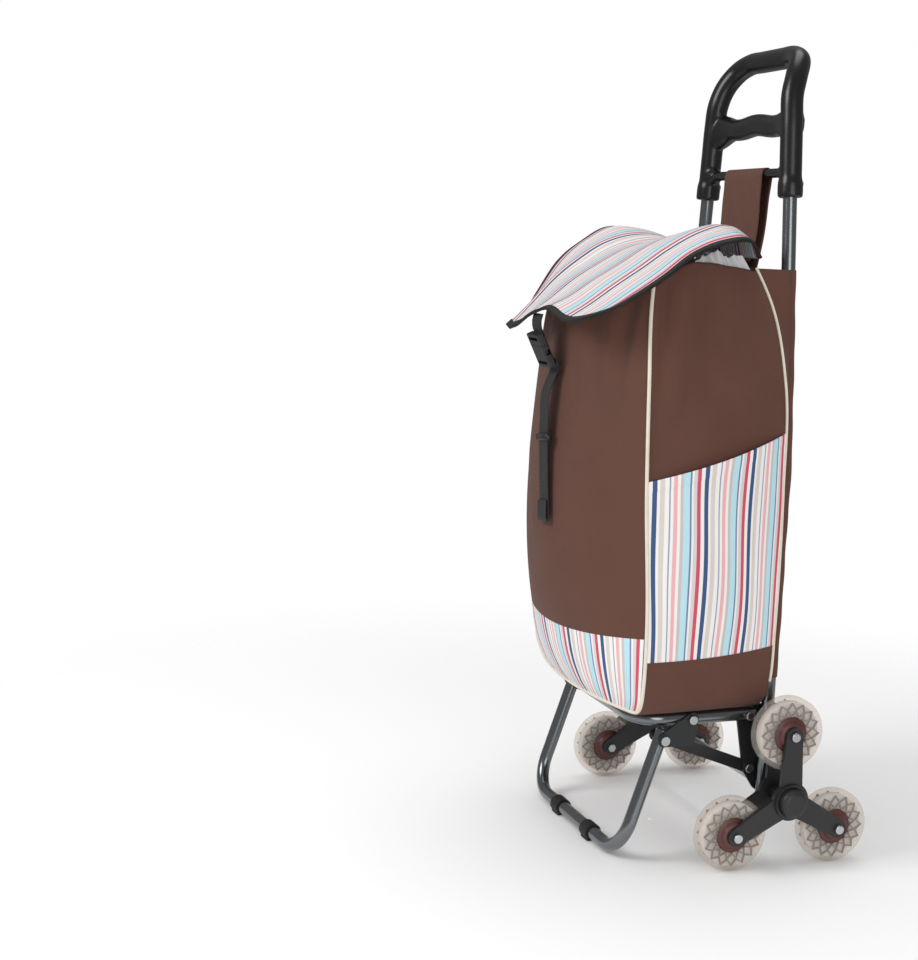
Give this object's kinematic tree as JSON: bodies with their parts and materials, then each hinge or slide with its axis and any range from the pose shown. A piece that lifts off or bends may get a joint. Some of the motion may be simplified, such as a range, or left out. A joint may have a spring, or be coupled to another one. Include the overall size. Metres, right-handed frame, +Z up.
{
  "type": "shopping trolley",
  "caption": "Upright shopping trolley: tube frame, cloth bag with buckled flap, folding platform with foot, and stair-climbing wheel clusters on a common axle.",
  "frame": {"origin": "on the floor, in the middle of the space the trolley takes up", "axes": "X to the right of a person facing the bag, Y to the back, Z up"},
  "size_m": [0.4158, 0.3836, 0.9495],
  "materials": {
    "gunmetal_tube": "grey metallic powder coat, semi-gloss",
    "black_steel": "black paint, satin",
    "zinc": "bright zinc plate",
    "black_plastic": "moulded, fine grain",
    "handle_plastic": "moulded, satin gloss",
    "rod_steel": "black paint, semi-gloss",
    "black_rubber": "matte",
    "board": "plain sheet",
    "brown_hub": "moulded",
    "clear_tyre": "clear soft vinyl, slightly milky",
    "brown_cloth": "coated plain weave",
    "striped_cloth": "coated plain weave, printed stripes",
    "piping": "covered cord",
    "lining": "thin coated cloth, crumpled",
    "binding": "woven tape",
    "webbing": "woven webbing"
  },
  "bodies": {
    "frame": {"axle": "zinc", "axle_caps": "black_plastic", "axle_spacers": "black_plastic", "back_panel": "brown_cloth", "bottom_panel": "brown_cloth", "buckle_socket": "black_plastic", "buckle_strap": "webbing", "carrier_panel": "brown_cloth", "cross_rod": "rod_steel", "flap_seam": "brown_cloth", "front_band": "striped_cloth", "front_panel": "brown_cloth", "front_piping": "piping", "handle": "handle_plastic", "handle_screws": "zinc", "hanging_loop": "brown_cloth", "left_pocket": "striped_cloth", "left_side_bracket": "black_steel", "left_side_panel": "brown_cloth", "left_upright": "gunmetal_tube", "lining_collar": "lining", "pivot_bolts": "zinc", "rear_piping": "piping", "right_pocket": "striped_cloth", "right_side_bracket": "black_steel", "right_side_panel": "brown_cloth", "right_upright": "gunmetal_tube", "strap_keeper": "black_plastic", "upright_plugs": "black_plastic"},
    "platform": {"platform": "gunmetal_tube", "base_board": "board"},
    "foot": {"foot_frame": "gunmetal_tube", "foot_pads": "black_rubber", "coupler_plates": "black_steel", "foot_bolts": "zinc"},
    "struts": {"left_strut": "black_steel", "right_strut": "black_steel"},
    "flap": {"flap": "striped_cloth", "flap_binding": "binding", "buckle_tab": "webbing", "buckle_tongue": "black_plastic"},
    "right_cluster": {"right_outer_spider": "black_plastic", "right_inner_spider": "black_plastic", "right_wheel_bolts": "zinc"},
    "right_top_wheel": {"right_top_hub": "brown_hub", "right_top_tyre": "clear_tyre"},
    "right_front_wheel": {"right_front_hub": "brown_hub", "right_front_tyre": "clear_tyre"},
    "right_rear_wheel": {"right_rear_hub": "brown_hub", "right_rear_tyre": "clear_tyre"},
    "left_cluster": {"left_outer_spider": "black_plastic", "left_inner_spider": "black_plastic", "left_wheel_bolts": "zinc"},
    "left_top_wheel": {"left_top_hub": "brown_hub", "left_top_tyre": "clear_tyre"},
    "left_front_wheel": {"left_front_hub": "brown_hub", "left_front_tyre": "clear_tyre"},
    "left_rear_wheel": {"left_rear_hub": "brown_hub", "left_rear_tyre": "clear_tyre"}
  },
  "joints": [
    {"name": "platform_fold", "type": "hinge", "parent": "frame", "child": "platform", "pos_m": [0, 0.05361, 0.17], "axis": [-1, 0, 0], "range_deg": [0, 84], "deforming": ["front_panel", "front_band", "back_panel", "bottom_panel", "right_side_panel", "left_side_panel", "right_pocket", "left_pocket", "front_piping", "rear_piping", "lining_collar"]},
    {"name": "foot_fold", "type": "hinge", "parent": "platform", "child": "foot", "pos_m": [0, -0.02239, 0.17], "axis": [-1, 0, 0], "range_deg": [-87.5, 0]},
    {"name": "strut_turn", "type": "hinge", "parent": "frame", "child": "struts", "pos_m": [0, 0.06661, 0.1], "axis": [-1, 0, 0], "range_deg": [0, 45.4]},
    {"name": "flap_open", "type": "hinge", "parent": "frame", "child": "flap", "pos_m": [0, 0.04021, 0.70248], "axis": [-1, 0, 0], "range_deg": [0, 85]},
    {"name": "right_cluster_turn", "type": "hinge", "parent": "frame", "child": "right_cluster", "pos_m": [0.175, 0.08161, 0.082], "axis": [1, 0, 0], "continuous": true},
    {"name": "right_top_spin", "type": "hinge", "parent": "right_cluster", "child": "right_top_wheel", "pos_m": [0.175, 0.08161, 0.159], "axis": [1, 0, 0], "continuous": true},
    {"name": "right_front_spin", "type": "hinge", "parent": "right_cluster", "child": "right_front_wheel", "pos_m": [0.175, 0.01492, 0.0435], "axis": [1, 0, 0], "continuous": true},
    {"name": "right_rear_spin", "type": "hinge", "parent": "right_cluster", "child": "right_rear_wheel", "pos_m": [0.175, 0.14829, 0.0435], "axis": [1, 0, 0], "continuous": true},
    {"name": "left_cluster_turn", "type": "hinge", "parent": "frame", "child": "left_cluster", "pos_m": [-0.175, 0.08161, 0.082], "axis": [1, 0, 0], "continuous": true},
    {"name": "left_top_spin", "type": "hinge", "parent": "left_cluster", "child": "left_top_wheel", "pos_m": [-0.175, 0.08161, 0.159], "axis": [1, 0, 0], "continuous": true},
    {"name": "left_front_spin", "type": "hinge", "parent": "left_cluster", "child": "left_front_wheel", "pos_m": [-0.175, 0.01492, 0.0435], "axis": [1, 0, 0], "continuous": true},
    {"name": "left_rear_spin", "type": "hinge", "parent": "left_cluster", "child": "left_rear_wheel", "pos_m": [-0.175, 0.14829, 0.0435], "axis": [1, 0, 0], "continuous": true}
  ],
  "couplings": [
    {"joint": "foot_fold", "follows": "platform_fold", "ratio": -1.0357},
    {"joint": "strut_turn", "follows": "platform_fold", "ratio": 0.53452}
  ]
}
